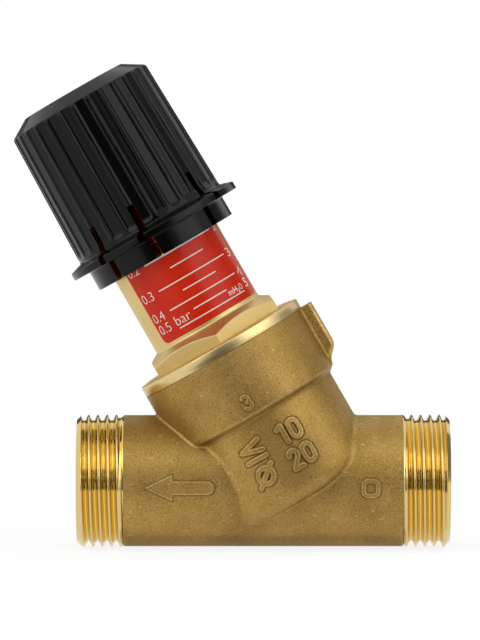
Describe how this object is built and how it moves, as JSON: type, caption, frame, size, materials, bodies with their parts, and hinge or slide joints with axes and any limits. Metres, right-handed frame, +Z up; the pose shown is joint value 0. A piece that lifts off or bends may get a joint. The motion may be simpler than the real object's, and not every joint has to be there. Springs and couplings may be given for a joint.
{
  "type": "differential pressure overflow valve",
  "caption": "Y-pattern brass overflow valve with male pipe threads, a tilted spring bonnet with a red pressure scale, and a fluted black handwheel that sets the opening pressure.",
  "frame": {"origin": "centre of the inlet's sealing face, on the axis of the run", "axes": "+X out of the inlet along the run's axis, +Z up, square to the run in the bonnet's plane; the bonnet leans 30 degrees from +Z towards the outlet"},
  "size_m": [0.1091, 0.0466, 0.1211],
  "materials": {
    "cast_brass": "matte, blasted casting",
    "turned_brass": "bright, turned",
    "black_plastic": "satin, moulded",
    "label_film": "satin printed film",
    "stainless_steel": "turned",
    "spring_steel": "drawn wire",
    "rubber": "matte",
    "acetal": "smooth"
  },
  "bodies": {
    "valve": {"valve_body": "cast_brass", "bonnet": "turned_brass", "bonnet_o_ring": "rubber", "guide_bush": "acetal", "stem_o_ring": "rubber", "gland_ring": "turned_brass", "threaded_head": "turned_brass", "scale_label": "label_film"},
    "disc": {"stem": "stainless_steel", "valve_disc": "turned_brass", "disc_seal": "rubber", "seal_washer": "stainless_steel", "disc_nut": "stainless_steel", "lower_spring_plate": "stainless_steel", "stem_clip": "spring_steel", "spring": "spring_steel"},
    "spring_plate": {"upper_spring_plate": "stainless_steel", "thrust_washer": "acetal"},
    "handwheel": {"setting_screw": "turned_brass", "handwheel": "black_plastic", "handwheel_washer": "stainless_steel", "handwheel_screw": "stainless_steel", "handwheel_cap": "black_plastic"}
  },
  "joints": [
    {"name": "disc_lift", "type": "slide", "parent": "valve", "child": "disc", "axis": [-0.5, 0, 0.866], "range_m": [0, 0.004], "stiffness_N_per_m": 428, "springref_m": -0.0119, "deforming": ["spring"]},
    {"name": "setting_travel", "type": "slide", "parent": "valve", "child": "spring_plate", "axis": [-0.5, 0, 0.866], "range_m": [-0.0181, 0.0105], "deforming": ["spring"]},
    {"name": "handwheel_turn", "type": "hinge", "parent": "spring_plate", "child": "handwheel", "pos_m": [-0.0378, 0, 0], "axis": [-0.5, 0, 0.866], "range_deg": [-2172, 1260], "deforming": ["spring"]}
  ],
  "couplings": [
    {"joint": "setting_travel", "follows": "handwheel_turn", "m_per_rad": 0.00047746}
  ]
}
